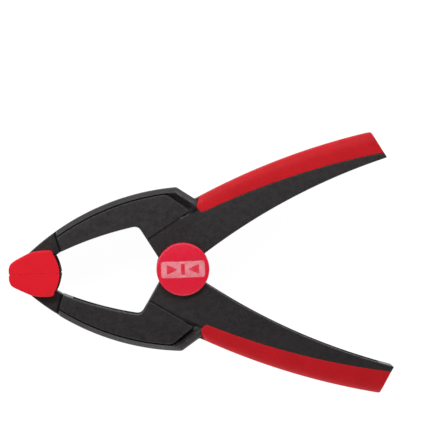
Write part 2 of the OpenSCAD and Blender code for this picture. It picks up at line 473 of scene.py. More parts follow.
def twin(obj, name):
    """A copy of a shape, for the lower side."""
    return new_object(name, obj.data.copy())


# -------- outlines

nose_low = touch(PAD_AXIS, NOSE_R, NOSE_ROOT, -1)
nose_high = touch(PAD_AXIS, NOSE_R, NOSE_TIP, 1)
hub_high = heading_of(THROAT_FOOT)


def where_circle_meets(arc, radius, lo, hi):
    """x at which an arc lies at a given distance from the pivot, by halving."""
    for _ in range(40):
        x = (lo + hi) / 2
        lo, hi = (x, hi) if math.hypot(x, arc_y(arc, x)) < radius else (lo, x)
    return (lo + hi) / 2


hub_x = where_circle_meets(HANDLE_INSIDE, RECESS_R, 2.0, 30.0)
hub_low = heading_of((hub_x, arc_y(HANDLE_INSIDE, hub_x)))
throat_line = unit(np.subtract(THROAT_CORNER, THROAT_FOOT))


def grip_outline():
    """Outline of the soft grip, anticlockwise."""
    by_panel, tip, at_back = GRIP_START
    loop = loop_of(
        along(GRIP_LINE, by_panel[0], END_GRIP[0]),
        straight(END_GRIP, END_OUTER),
        along(HANDLE_BACK, END_OUTER[0], at_back[0]),
        straight(at_back, tip),
        straight(tip, by_panel, step=0.5))
    return soften(loop, (END_OUTER, 0.95), (END_GRIP, 0.2), (tip, 1.5), (by_panel, 1.2), (at_back, 0.35))


def core_end():
    """Outer and inner corner of the handle's core at its far end."""
    along_end = unit(np.subtract(END_OUTER, END_GRIP))
    back = -GRIP_BACK * np.array([along_end[1], -along_end[0]])
    outer = np.asarray(END_OUTER) + back + along_end * -GRIP_BACK
    inner = np.asarray(END_GRIP) + back + along_end * GRIP_BACK / 2
    return outer, inner


CORE_ARC = grown(HANDLE_BACK, -GRIP_BACK)
CORE_STEP = ((8.3, float(arc_y(CORE_ARC, 8.3))), (7.7, float(arc_y(HANDLE_BACK, 7.7))))


def arm_outline():
    """Outline of the arm's moulding, anticlockwise, from the hub round the handle and the jaw."""
    outer, inner = core_end()
    loop = loop_of(
        around((0, 0), RECESS_R, hub_high, hub_low),
        along(HANDLE_INSIDE, hub_x, END_INNER[0]),
        straight(END_INNER, END_GRIP, step=0.5),
        along(GRIP_LINE, END_GRIP[0], inner[0], step=0.5),
        straight(inner, outer),
        along(CORE_ARC, outer[0], CORE_STEP[0][0]),
        straight(*CORE_STEP, step=0.5),
        along(HANDLE_BACK, CORE_STEP[1][0], NOTCH[0], step=0.4),
        straight(NOTCH, BACK_CORNER, step=0.6),
        along(JAW_BACK, BACK_CORNER[0], NOSE_TIP[0]),
        straight(NOSE_TIP, around(PAD_AXIS, NOSE_R, nose_high, nose_high + 1)[0], step=0.5),
        around(PAD_AXIS, NOSE_R, nose_high, nose_low + 360),
        straight(around(PAD_AXIS, NOSE_R, nose_low, nose_low + 1)[0], NOSE_ROOT),
        along(JAW_INSIDE, NOSE_ROOT[0], THROAT_CORNER[0]),
        straight(THROAT_CORNER, THROAT_FOOT, step=0.7))
    return soften(loop, (THROAT_CORNER, 2.2), (BACK_CORNER, 0.9), (NOTCH, 0.7), (END_INNER, 0.8),
                  (NOSE_TIP, 0.6), (NOSE_ROOT, 0.9))


ARM = arm_outline()
GRIP = grip_outline()
GRIP_INNER = inset(GRIP, 0.05)
RIM_WIDTH = 1.95
RIM_GROOVE = 0.65
PANEL_ARC = grown(JAW_BACK, -RIM_WIDTH - RIM_GROOVE)


def panel_outline():
    """Outline of the raised panel, anticlockwise; it runs on past the jaw's inner side."""
    low_far = PANEL_LOW[1] + 6 * unit(np.subtract(PANEL_LOW[1], PANEL_LOW[0]))
    front_far = PANEL_FRONT[1] + 6 * unit(np.subtract(PANEL_FRONT[1], PANEL_FRONT[0]))
    loop = loop_of(
        straight(low_far, PANEL_REAR[1], step=0.8),
        straight(PANEL_REAR[1], PANEL_REAR[0], step=0.6),
        along(PANEL_ARC, PANEL_REAR[0][0], PANEL_FRONT[0][0] + 0.2, step=0.8),
        straight(PANEL_FRONT[0], front_far, step=0.8),
        [(-40.0, 2.0)])
    return soften(loop, (PANEL_REAR[0], 2.0), (PANEL_REAR[1], 0.7), (PANEL_FRONT[0], 0.5))


PANEL = panel_outline()


# -------- height of the arm's side

LOW_LENGTH = float(np.linalg.norm(np.subtract(*PANEL_LOW)))
# Rim along the jaw's back, each as beside the panel and in the valley behind it: width of its chamfer,
# depth of its outer edge, depth and side of the groove inside it, and power of its curves
RIM = ((RIM_WIDTH, 2.25), (1.5, 1.3), (0.75, 2.0), (0.15, 2.45), (1.0, 0.7))
RIM_CREST = 0.05
GROOVE = 0.55
GROOVE_SIDE = 0.14
FOOT_GROOVE = 1.2
FOOT_WIDTH = 1.1
SHOULDER_SIDE = 0.1
PANEL_EDGE_R = 0.3
HUB_SWELL = 0.38


def groove_width(t):
    """Width of the groove below the panel, from t = 0 at the throat to t = 1 at its rear corner."""
    return 0.75 + 1.1 * np.clip(t, 0, 1) ** 3


def groove_edge():
    """Line along the groove's side away from the panel, up to the grip."""
    t = np.linspace(-0.1, 1.27, 34)
    low, high = np.asarray(PANEL_LOW[1]), np.asarray(PANEL_LOW[0])
    across = np.array([high[1] - low[1], low[0] - high[0]]) / LOW_LENGTH
    return low + np.outer(t, high - low) + groove_width(t)[:, None] * across


def arm_side(q):
    """Height of the arm's moulded side above the middle plane."""
    rim = np.minimum(-past_arc(q, JAW_BACK), beside(q, NOTCH, BACK_CORNER))
    d_low = beside(q, PANEL_LOW[1], PANEL_LOW[0])
    d_front = beside(q, PANEL_FRONT[0], PANEL_FRONT[1])
    panel = distance(q, PANEL) * np.where(inside(q, PANEL), 1, -1)

    # Rim along the jaw's back: a chamfer, then a groove that widens into a valley behind the panel
    rear = ease((rim_end(q) + 3.0) / 5.0)
    width, edge, floor, side, power = (a + (b - a) * rear for a, b in RIM)
    chamfer = -edge + (RIM_CREST + edge) * np.clip(rim / width, 0, 1) ** power
    drop = (RIM_CREST + floor) * np.clip((rim - width) / side, 0, 1) ** power
    band = HALF + chamfer - drop

    # Hub and handle: flat, with a groove along the panel's lower edge that opens into the valley
    t = (q - np.asarray(PANEL_LOW[1])) @ unit(np.subtract(*PANEL_LOW)) / LOW_LENGTH
    flat = HALF + HUB_SWELL * ease((d_low + 7.0) / 6.0) * ease((GRIP_START[0][0] - q[:, 0]) / 5.0)
    groove = band + (flat - GROOVE - band) * ease((rim - 6.0) / 4.5)
    within = np.clip((d_low + groove_width(t)) / GROOVE_SIDE, 0, 1) * (q[:, 0] < GRIP_START[0][0])
    ground = flat + (np.minimum(groove, flat) - flat) * within

    z = np.where(panel > 0, PANEL_TOP - round_off(panel, PANEL_EDGE_R), ground)

    # Nose: a steep shoulder in front of the panel, with a groove at its foot
    ahead = -d_front
    foot = NOSE_HALF - FOOT_GROOVE * np.clip((FOOT_WIDTH - ahead) / 0.3, 0, 1)
    step = HALF - 0.1 - NOSE_HALF + FOOT_GROOVE
    z = np.where(ahead > 0, foot + step * np.clip(1 - ahead / SHOULDER_SIDE, 0, 1), z)

    under_grip = inside(q, GRIP_INNER)
    z = z - np.where(inside(q, GRIP), 0, round_off(distance(q, GRIP), 0.25))
    z = np.where(under_grip, HALF - GRIP_SIDE, z)
    d = np.where(np.hypot(q[:, 0], q[:, 1]) < RECESS_R + 0.6, EDGE_R, distance(q, ARM))
    return z - np.where(under_grip, 0, round_off(d, EDGE_R))


def rim_end(q):
    """How far a point lies past the jaw's back corner, towards the notch."""
    d = unit(np.subtract(NOTCH, BACK_CORNER))
    return (q - np.asarray(BACK_CORNER)) @ d


def arm_solid():
    """The arm's outer form, solid, with rows of vertices along every edge of its sides."""
    shoulder_rows = (-SHOULDER_SIDE, -0.2, -0.5, -0.8, -FOOT_WIDTH, -1.6)
    valley_rows = (-0.4, -0.8, -1.2, -1.7, -2.2, -2.7, -3.3)
    line_rows = (-0.06, -0.3)
    curves = [
        (PANEL[:-1], (0.3, 0.15, 0.05, -0.02)),
        (straight(*PANEL_FRONT, step=0.8), shoulder_rows),
        (straight(PANEL_REAR[1], PANEL_REAR[0]), valley_rows),
        (straight(PANEL_LOW[1], PANEL_LOW[0]), line_rows),
        (groove_edge(), (-0.03, 0.0, GROOVE_SIDE, 0.17)),
        (inset(ARM, RIM_WIDTH), (0.0, RIM[3][0])),
        (GRIP, (-0.25, -0.14, -0.05, 0.06)),
    ]
    return plate(ARM, arm_side, curves=curves, rings=EDGE_RINGS + (0.9,), spacing=1.6)


# -------- hollows of the arm

# Three lanes between the side walls and two long ribs, as lower and upper height
LANE_INNER, LANE_OUTER = RIB_Z - RIB / 2, RIB_Z + RIB / 2
LANES = ((LANE_OUTER, HALF - WALL), (-LANE_INNER, LANE_INNER), (WALL - HALF, -LANE_OUTER))
LANE_UNDER_GRIP = 9.0
FLARE = 0.35
CELL_FILLET = 1.1
# Cross ribs as x of their feet, end walls as (foot, heading in degrees)
JAW_RIBS = (-38.5, -29.5, -20.5)
JAW_FRONT_WALL = ((-46.5, 0.0), 92.5)
THROAT_WALL = [(-19.5, 15.5), (-16.2, 12.4), (-14.9, 14.2), (-14.2, 15.75)]
JAW_ROOF_REAR = (0.0, 24.6)
HANDLE_RIBS = (47.0, 57.0, 67.0)
JAW_WEB = grown(JAW_BACK, -WEB)
HANDLE_END_WALL = ((83.0, 38.0), 117.6)
JAW_RIB_SINK = 0.8
HANDLE_RIB_SINK = 2.5
HANDLE_WEB = grown(CORE_ARC, -WEB)


def direction(heading):
    """Unit vector at a heading in degrees."""
    return np.array([math.cos(math.radians(heading)), math.sin(math.radians(heading))])


def meets(arc, foot, heading):
    """Point where a line from foot, going up at a heading in degrees, crosses an arc."""
    u = direction(heading)
    rel = np.asarray(foot, float) - np.asarray(arc[:2])
    b = rel @ u
    return np.asarray(foot, float) + (-b + math.sqrt(b * b - rel @ rel + arc[2] ** 2)) * u


def rib_side(foot, heading, side, web, mouth):
    """One wall of a cell, from below its mouth up to the web. side is 1 on the cell's right."""
    u = direction(heading)
    across = np.array([u[1], -u[0]]) * side
    foot = np.asarray(foot, float) - across * RIB / 2
    low, high = meets(mouth, foot, heading), meets(web, foot, heading)
    return straight(low - u * 1.5, high, step=1.5)


def jaw_rib(x):
    """Foot and heading of a jaw's cross rib; the ribs fan out."""
    return (x, 0.0), 90 + (x + 3.8) * 0.45


def handle_rib(x):
    """Foot and heading of a handle's cross rib."""
    return (x, 24 + (x - 47) / 2), 68.0


def cell(left, right, web, mouth):
    """Outline of a hollow between two ribs, anticlockwise from the mouth of its right wall."""
    right_wall = rib_side(*right, 1, web, mouth)
    left_wall = rib_side(*left, -1, web, mouth)
    roof = along(web, right_wall[-1][0], left_wall[-1][0], step=1.2)
    loop = loop_of(right_wall, roof, left_wall[::-1])
    return soften(loop, (right_wall[-1], CELL_FILLET), (left_wall[-1], CELL_FILLET))


def jaw_cells():
    """Outlines of the jaw's hollows; the last one lies behind the throat."""
    ribs = [jaw_rib(x) for x in JAW_RIBS]
    cells = [cell(a, b, JAW_WEB, JAW_INSIDE) for a, b in zip([JAW_FRONT_WALL] + ribs, ribs)]
    left_wall = rib_side(*ribs[-1], -1, JAW_WEB, JAW_INSIDE)
    top = (-6.6, arc_y(JAW_WEB, -6.6))
    loop = loop_of(
        THROAT_WALL + [(-13, 16.4), JAW_ROOF_REAR],
        straight(JAW_ROOF_REAR, top),
        along(JAW_WEB, top[0], left_wall[-1][0], step=1.2),
        left_wall[::-1])
    last = soften(loop, (left_wall[-1], CELL_FILLET), (top, 1.5), (JAW_ROOF_REAR, 1.5))
    return cells + [last]


def handle_cells():
    """Outlines of the handle's hollows; the first one opens into the coil's space."""
    ribs = [handle_rib(x) for x in HANDLE_RIBS]
    walls = zip(ribs, ribs[1:] + [HANDLE_END_WALL])
    cells = [cell(a, b, HANDLE_WEB, HANDLE_INSIDE) for a, b in walls]
    right_wall = rib_side(*ribs[0], 1, HANDLE_WEB, HANDLE_INSIDE)
    start = (5.2, arc_y(HANDLE_WEB, 5.2))
    below = along(HANDLE_INSIDE, 16.0, right_wall[0][0] - 1.0, step=2.0) - np.array([0.0, 1.6])
    loop = loop_of(
        below, right_wall, along(HANDLE_WEB, right_wall[-1][0], start[0], step=1.2),
        straight(start, (-7.2, 15.1)),
        around((0, 0), HUB_R - 0.2, 114.0, -1.0))
    first = soften(loop, (right_wall[-1], CELL_FILLET), (start, 1.5))
    return [first] + cells


def mouth_strips():
    """Outlines of the bands along the mouths of both channels, which the ribs stay clear of."""
    front = rib_side(*JAW_FRONT_WALL, -1, JAW_WEB, JAW_INSIDE)[0]
    jaw = loop_of(
        along(JAW_INSIDE, front[0], -20.0, step=2.0) - np.array([0.0, 1.5]),
        THROAT_WALL + [(-13.9, 17.0)],
        along(JAW_INSIDE, -13.9, front[0] + 0.1, step=2.0, grow=JAW_RIB_SINK))
    end = rib_side(*HANDLE_END_WALL, 1, HANDLE_INSIDE, HANDLE_INSIDE)
    stop = end[-1] + unit(end[-1] - end[0]) * HANDLE_RIB_SINK
    handle = loop_of(
        along(HANDLE_INSIDE, 16.2, end[0][0] - 1.0, step=2.0) - np.array([0.0, 1.6]),
        straight(end[0], stop, step=1.0),
        along(HANDLE_INSIDE, stop[0], 16.4, step=2.0, grow=HANDLE_RIB_SINK))
    return jaw, handle


def lane_cutter(loop, low, high, narrow):
    """Solid that hollows one lane of a cell, flared where it leaves the arm.

    narrow draws the outer lanes in beside the grip, where the arm's core is thinner.
    """
    def limit(q, value):
        size = abs(value)
        if not narrow or size < LANE_UNDER_GRIP:
            return np.full(len(q), float(value))
        beside_grip = ease((past_arc(q, GRIP_LINE) + 1.0) / 0.5)
        return math.copysign(1, value) * (size - (size - LANE_UNDER_GRIP) * beside_grip)

    def side(q, value, way):
        within = inside(q, ARM)
        flare = round_off(np.where(within, distance(q, ARM), 0.0), FLARE)
        fillet = round_off(distance(q, loop), 0.5) * within
        return limit(q, value) + way * (flare - fillet)

    return plate(loop, lambda q: side(q, high, 1), lambda q: side(q, low, -1),
                 rings=(0.12, 0.3, 0.5), spacing=2.2)


def hub_cutter():
    """Space for the coil, between the two inner ears."""
    loop = loop_of(
        [(-9.0, 6.0), (0.0, -3.0), (13.0, -1.5)],
        around((0, 0), HUB_R + 0.2, -2.0, 119.0, step=1.0),
        [(-8.7, 12.4)])
    return flat_plate(loop, -EAR_IN, EAR_IN)


def ear_solid(low, high):
    """One hinge ear: a disc with a root that reaches into the arm."""
    n = np.array([throat_line[1], -throat_line[0]])
    root = np.asarray(THROAT_FOOT) + throat_line * 2.4 + n * 0.12
    low_x = where_circle_meets(HANDLE_INSIDE, HUB_R - 3.2, 2.0, 30.0)
    low_side = np.array([low_x, arc_y(HANDLE_INSIDE, low_x) + 0.15])
    loop = loop_of(
        around((0, 0), EAR_R, hub_high - 0.6, hub_low + 360.6),
        around((0, 0), np.hypot(*low_side), heading_of(low_side), heading_of(root)))
    middle = (low + high) / 2
    half = (high - low) / 2

    def lift(q):
        near = np.hypot(q[:, 0], q[:, 1]) < EAR_R + 0.1
        return half - round_off(distance(q, loop), 0.35) * near

    verts, faces = plate(loop, lift, rings=(0.05, 0.18, 0.35), spacing=3.0)
    verts[:, 2] += middle
    return verts, faces


def drum(radius, low, high, centre=(0.0, 0.0), count=64):
    """A plain cylinder, for bores."""
    verts, faces = lathe([(0, low), (radius, low), (radius, high), (0, high)], count)
    return verts + np.array([*centre, 0.0]), faces


def arm_moulding():
    """The whole upper arm: jaw, ears and handle, hollowed with ribs."""
    arm = make("upper_arm_moulding", arm_solid())
    lanes = [lane_cutter(loop, low, high, False) for loop in jaw_cells() for low, high in LANES]
    lanes += [lane_cutter(loop, low, high, True) for loop in handle_cells() for low, high in LANES]
    cut(arm, joined(*lanes))
    jaw_mouth, handle_mouth = mouth_strips()
    depth = LANES[0][1]
    strips = [lane_cutter(jaw_mouth, -depth, depth, False), lane_cutter(handle_mouth, -depth, depth, True)]
    cut(arm, joined(*strips))
    cut(arm, hub_cutter())
    outer_ear = ear_solid(EAR_SPLIT + EAR_GAP / 2, HALF - 0.03)
    inner_ear = ear_solid(-EAR_SPLIT + EAR_GAP / 2, -EAR_IN)
    add(arm, joined(outer_ear, inner_ear))
    cut(arm, drum(PIN_R + RUNNING, -HALF, HALF + 2))
    cut(arm, drum(SEAT_R, HALF - SEAT_DEPTH, HALF + 2))
    cut(arm, drum(PAD_PIN_R + RUNNING, -HALF, HALF, PAD_AXIS))
    return arm


# -------- grips

# Rise of the grip's side to GRIP_FLAT of its width, then its fall towards the handle's back
GRIP_CROWN = 0.3
GRIP_SLOPE = 2.0
GRIP_FLAT = 0.5
GRIP_ROUND = 1.1
GRIP_END_ROUND = 0.8
GRIP_RINGS = (0.03, 0.1, 0.2, 0.34, 0.55, 0.85, 1.25, 1.75, 2.5)


def grip_side(q):
    """Height of the soft grip's side: nearly flat beside the arm, falling away towards the back."""
    d_in = past_arc(q, GRIP_LINE)
    d_back = -past_arc(q, HANDLE_BACK)
    d_end = beside(q, END_GRIP, END_OUTER)
    t = np.clip(d_in / np.maximum(d_in + d_back, 0.1), 0, 1)
    crown = GRIP_CROWN * (1 - (1 - np.clip(t / GRIP_FLAT, 0, 1)) ** 2)
    fall = GRIP_SLOPE * np.clip((t - GRIP_FLAT) / (1 - GRIP_FLAT), 0, 1) ** 2.6
    d = distance(q, GRIP)
    at_back = round_off(d_back, GRIP_ROUND)
    at_end = round_off(d_end, GRIP_END_ROUND)
    drop = np.sqrt(at_back ** 2 + at_end ** 2)
    return HALF + crown - fall - np.maximum(np.minimum(drop, GRIP_ROUND), round_off(d, 0.28))


def grip_moulding():
    """Soft grip of the upper handle, hollowed for the handle's core."""
    grip = make("upper_grip_moulding", plate(GRIP, grip_side, rings=GRIP_RINGS, spacing=1.5))
    outer, inner = core_end()
    low = along(GRIP_LINE, 5.0, END_GRIP[0] + 3) - np.array([0.0, 1.5])
    loop = loop_of(
        low,
        [inner + np.array([0.5, -2.0])],
        straight(inner, outer),
        along(CORE_ARC, outer[0], CORE_STEP[0][0]),
        CORE_STEP,
        [(7.5, 31.0), (5.0, 31.0)])
    cut(grip, flat_plate(loop, -HALF + GRIP_SIDE, HALF - GRIP_SIDE))
    return grip


# -------- pads

# Outline of the upper pad, from the front of its flat face round to its rear
PAD = ((-71.6, 0), (-72, 0.5), (-72, 2.2), (-71.3, 4.2), (-70.2, 5.2), (-68.4, 6.2), (-65.1, 7.8),
       (-62.8, 8.8), (-60.1, 9.35), (-57, 9.55), (-55, 9.5), (-54, 9.2), (-53.2, 8.3), (-51.9, 6),
       (-50.9, 3), (-50.4, 0.5), (-50.8, 0))
PAD_EDGE = 0.7
PAD_LIP = 0.16
PAD_RINGS = (0.03, 0.09, 0.18, 0.32, 0.5, 0.7, 1.0)
POCKET_HALF = 7.8
POCKET_CLEAR = 0.27
SHOE_HALF = 11.4
SHOE_FLOOR = 1.2
SHOE_INSET = 1.0
SHOE_FLANGE = 0.5
FLANGE_FLOOR = -0.5


def smooth_run(points, count=5):
    """A curve through points, with the end points kept."""
    p = np.asarray(points, float)
    p = np.vstack([2 * p[0] - p[1], p, 2 * p[-1] - p[-2]])
    rows = []
    for a, b, c, d in zip(p, p[1:], p[2:], p[3:]):
        for t in np.linspace(0, 1, count, endpoint=False):
            rows.append(0.5 * (2 * b + (c - a) * t + (2 * a - 5 * b + 4 * c - d) * t ** 2
                               + (3 * b - a - 3 * c + d) * t ** 3))
    curve = np.vstack(rows + [p[-2]])
    return np.clip(curve, np.min(points, axis=0), np.max(points, axis=0))


PAD_SIDE = smooth_run(PAD[1:-1])
PAD_LOOP = loop_of(straight(PAD[0], PAD[-1], step=0.8), PAD_SIDE[::-1])


def pad_form(drop=0.0, edge=PAD_EDGE):
    """The whole pad as one solid, lowered by drop, with its long edge rounded."""
    def lift(q):
        rim = round_off(distance(q, PAD_SIDE, closed=False), edge)
        lip = round_off(np.abs(q[:, 1]), PAD_LIP)
        return PAD_HALF - drop - np.maximum(rim, lip)

    return plate(PAD_LOOP, lift, rings=PAD_RINGS, spacing=1.3)


def pad_pocket():
    """The slot in which the arm's nose swings."""
    radius = NOSE_R + POCKET_CLEAR
    loop = loop_of(
        around(PAD_AXIS, radius, 180, 300),
        [(-47.0, 4.0), (-46.0, 12.0), (PAD_AXIS[0] - radius, 12.0)])
    return flat_plate(loop, -POCKET_HALF, POCKET_HALF)


def shoe_tools():
    """The shoe's parts of the pad: a core in the soft cover, and a full-depth flange at the rear."""
    x, y = PAD_SIDE.T
    back = PAD_SIDE[(x > -53.6) & (y > SHOE_FLOOR) & (y < 8.4)]
    roof = PAD_SIDE[(x > -70.4) & (x < -54.2)]
    roof = roof + np.array([SHOE_INSET, -SHOE_INSET * 1.2])
    roof = roof[roof[:, 1] > SHOE_FLOOR + 0.3]
    outside = back[::-1] + np.array([1.5, 0.0])
    start = [(-70.2, SHOE_FLOOR), (outside[0][0], SHOE_FLOOR)]
    core = loop_of(start, outside, [(-52.6, 8.4)], roof[::-1])
    foot = back[-1][0] - SHOE_FLANGE
    flange = loop_of([(foot, FLANGE_FLOOR), (outside[0][0], FLANGE_FLOOR)], outside,
                     [(-52.6, 8.4)], back - np.array([SHOE_FLANGE, 0.0]))
    return core, flange


def pad_mouldings():
    """The soft cover of the upper pad, and the hard shoe inside it."""
    core, flange = shoe_tools()
    cover = make("upper_pad_cover_moulding", pad_form())
    cut(cover, flat_plate(core, -SHOE_HALF, SHOE_HALF))
    cut(cover, flat_plate(flange, -20, 20))
    cut(cover, pad_pocket())
    shoe = make("upper_pad_shoe_moulding", flat_plate(core, -SHOE_HALF, SHOE_HALF))
    add(shoe, flat_plate(flange, -20, 20))
    combine(shoe, make("form", pad_form(0.3, 0.15)), "INTERSECT")
    cut(shoe, pad_pocket())
    cut(shoe, drum(PAD_PIN_R, -HALF, HALF, PAD_AXIS, 48))
    return cover, shoe


# -------- caps

CAP_EDGE = 0.75
CAP_CROWN = 0.55
# Sunk label panel and the bar of its sign as half sizes and corner radius; one of its arrowheads
LABEL = (9.1, 3.5, 1.3)
LABEL_DEPTH = 0.2
BAR = (0.75, 2.2, 0.3)
ARROW = np.array([(-6.6, -2.0), (-2.3, 0.0), (-6.6, 2.0)])
SOCKET_R = 5.05
SOCKET_TOP = 14.55


def dome(q):
    """Height of the cap's crowned top."""
    return CAP_TOP - CAP_CROWN * (np.hypot(q[:, 0], q[:, 1]) / CAP_R) ** 3


def cap_profile():
    """Half section of the cap as (radius, z), from the top's centre round to the socket's."""
    crown = [(r, float(dome(np.array([[r, 0.0]]))[0])) for r in np.linspace(0, CAP_R - CAP_EDGE, 14)]
    z = crown[-1][1] - CAP_EDGE
    edge = [(CAP_R - CAP_EDGE + CAP_EDGE * math.sin(a), z + CAP_EDGE * math.cos(a))
            for a in np.radians(np.arange(12, 91, 13))]
    foot = [(CAP_R, CAP_UNDER + 0.2), (CAP_R - 0.2, CAP_UNDER)]
    socket = [(SOCKET_R + 0.2, CAP_UNDER), (SOCKET_R, CAP_UNDER + 0.2)]
    socket += [(SOCKET_R, SOCKET_TOP), (0, SOCKET_TOP)]
    return crown + edge + foot + socket


def rounded_box(x, y, r, count=7):
    """Outline of a box of half sizes x and y, with corners of radius r."""
    x, y = x - r, y - r
    corners = (((x, y), 0), ((-x, y), 90), ((-x, -y), 180), ((x, -y), 270))
    return loop_of(*[around(c, r, a, a + 90, step=r * 1.6 / count) for c, a in corners])


def arrowhead(points):
    """Outline of an arrowhead with softened points."""
    sides = [straight(a, b, 0.4) for a, b in zip(points, np.roll(points, -1, 0))]
    return soften(loop_of(*sides), *[(p, 0.35) for p in points])


def cap_moulding():
    """Front cap: crowned, with a sunk label panel that holds a plain sign for squeezing together."""
    cap = make("front_cap_moulding", lathe(cap_profile(), 128))
    window = rounded_box(*LABEL)

    def between(loop, top, bottom):
        return plate(loop, top, bottom, rings=(), spacing=1.0)

    sink = between(window, lambda q: np.full(len(q), CAP_TOP + 1), lambda q: dome(q) - LABEL_DEPTH)
    cut(cap, sink)
    signs = [arrowhead(ARROW), arrowhead(-ARROW), rounded_box(*BAR)]
    raised = [between(s, lambda q: dome(q) - 0.03, lambda q: dome(q) - 0.8) for s in signs]
    add(cap, joined(*raised))
    return cap


def in_label(centre):
    """Whether a face of the cap belongs to the ground of its label panel."""
    x, y, z = centre
    floor = float(dome(np.array([[x, y]]))[0]) - LABEL_DEPTH * 0.8
    return abs(x) < LABEL[0] and abs(y) < LABEL[1] and CAP_TOP - 1.0 < z < floor


# -------- spring

WIRE_R = 1.0
COIL_R = 5.2
COIL_PITCH = 2.15
LEG_ANGLE = 37.0
LEG_L = 48.0
HOOK = 4.0
HOOK_TURN = 16.0


def spring_path():
    """Centre line of the wire, from the lower leg's end to the upper leg's end."""
    turns = 4 + (360 - 2 * (LEG_ANGLE + 90)) / 360
    low = -turns * COIL_PITCH / 2
    rise = np.linspace(0, 1, 260)
    a = np.radians(-(LEG_ANGLE + 90) - 360 * turns * rise)
    coil = np.column_stack([COIL_R * np.cos(a), COIL_R * np.sin(a), low + turns * COIL_PITCH * rise])
    leg = np.radians(LEG_ANGLE)
    along_leg = np.array([math.cos(leg), math.sin(leg)])
    base = COIL_R * np.array([-math.sin(leg), math.cos(leg)])
    hook = np.radians(LEG_ANGLE - HOOK_TURN)
    upper = [base + along_leg * s for s in np.linspace(1.0, LEG_L - 1.5, 24)]
    knee = base + along_leg * LEG_L
    tip = knee + HOOK * np.array([math.cos(hook), math.sin(hook)])
    bend = [(1 - t) ** 2 * upper[-1] + 2 * t * (1 - t) * knee + t ** 2 * (knee * 0.65 + tip * 0.35)
            for t in np.linspace(0.15, 1, 6)]
    leg_points = np.array(upper + bend + [tip])
    top = np.column_stack([leg_points, np.full(len(leg_points), -low)])
    bottom = top * np.array([1, -1, -1])
    return np.vstack([bottom[::-1], coil, top])


def wire(path, radius, sides=16):
    """A round wire along a path, with its ends softened."""
    tangent = np.gradient(path, axis=0)
    tangent /= np.linalg.norm(tangent, axis=1)[:, None]
    across = np.cross(tangent, [0.0, 0.0, 1.0])
    across /= np.linalg.norm(across, axis=1)[:, None]
    up = np.cross(across, tangent)
    a = np.linspace(0, 2 * math.pi, sides, endpoint=False)
    sections = []
    for i, p in enumerate(path):
        ends = min(i, len(path) - 1 - i)
        r = radius * (0.72 if ends == 0 else 1.0)
        shift = 0.25 * tangent[i] * (ends == 1) * (1 if i == 1 else -1)
        sections.append([p + shift + r * (math.cos(t) * across[i] + math.sin(t) * up[i]) for t in a])
    return tube(sections)


# -------- materials

class Tree:
    """The nodes of a material or a world, made and joined by name."""

    def __init__(self, owner):
        owner.use_nodes = True
        self.owner = owner
        self.nodes = owner.node_tree.nodes
        self.links = owner.node_tree.links
        self.places = self.nodes.new("ShaderNodeTexCoord").outputs

    def add(self, kind, output, **inputs):
        """One output of a new node, whose inputs are given as values or as sockets to join."""
        node = self.nodes.new("ShaderNode" + kind)
        self.fill(node, inputs)
        return node.outputs[output]

    def fill(self, node, inputs):
        """Sets or joins inputs of a node by name; None leaves one as it is."""
        for name, value in inputs.items():
            socket = node.inputs[name.replace("_", " ")]
            if isinstance(value, bpy.types.NodeSocket):
                self.links.new(value, socket)
            elif value is not None:
                socket.default_value = value

    def noise(self, size_mm, detail=3.0, rough=0.55, stretch=None):
        place_at = self.places["Object"]
        if stretch:
            place_at = self.add("Mapping", "Vector", Vector=place_at, Scale=stretch)
        scale = 1 / (size_mm * MM)
        return self.add("TexNoise", "Fac", Vector=place_at, Scale=scale, Detail=detail, Roughness=rough)

    def map(self, value, low, high, to_low, to_high):
        return self.add("MapRange", "Result", Value=value, From_Min=low, From_Max=high,
                        To_Min=to_low, To_Max=to_high)

    def blend(self, factor, a, b):
        node = self.nodes.new("ShaderNodeMix")
        node.data_type = "RGBA"
        for socket, value in ((node.inputs[6], a), (node.inputs[7], b)):
            if isinstance(value, tuple):
                socket.default_value = (*value, 1)
            else:
                self.links.new(value, socket)
        self.links.new(factor, node.inputs[0])
        return node.outputs[2]

    def edges(self, low, high):
        """1 on worn convex edges, 0 elsewhere."""
        return self.map(self.add("NewGeometry", "Pointiness"), low, high, 0, 1)

    def times(self, a, b):
        node = self.nodes.new("ShaderNodeMath")
        node.operation = "MULTIPLY"
        self.links.new(a, node.inputs[0])
        self.links.new(b, node.inputs[1])
        return node.outputs[0]

    def bump(self, height, depth_mm, strength=1.0, under=None):
        return self.add("Bump", "Normal", Height=height, Distance=depth_mm * MM, Strength=strength,
                        Normal=under)

    def finish(self, colour, roughness, normal, **values):
        inputs = {"Base Color": colour, "Roughness": roughness, "Normal": normal, **values}
        self.fill(self.nodes["Principled BSDF"], inputs)
        return self.owner


def shades(colour, factor):
    """A colour made lighter or darker."""
    return tuple(c * factor for c in colour)


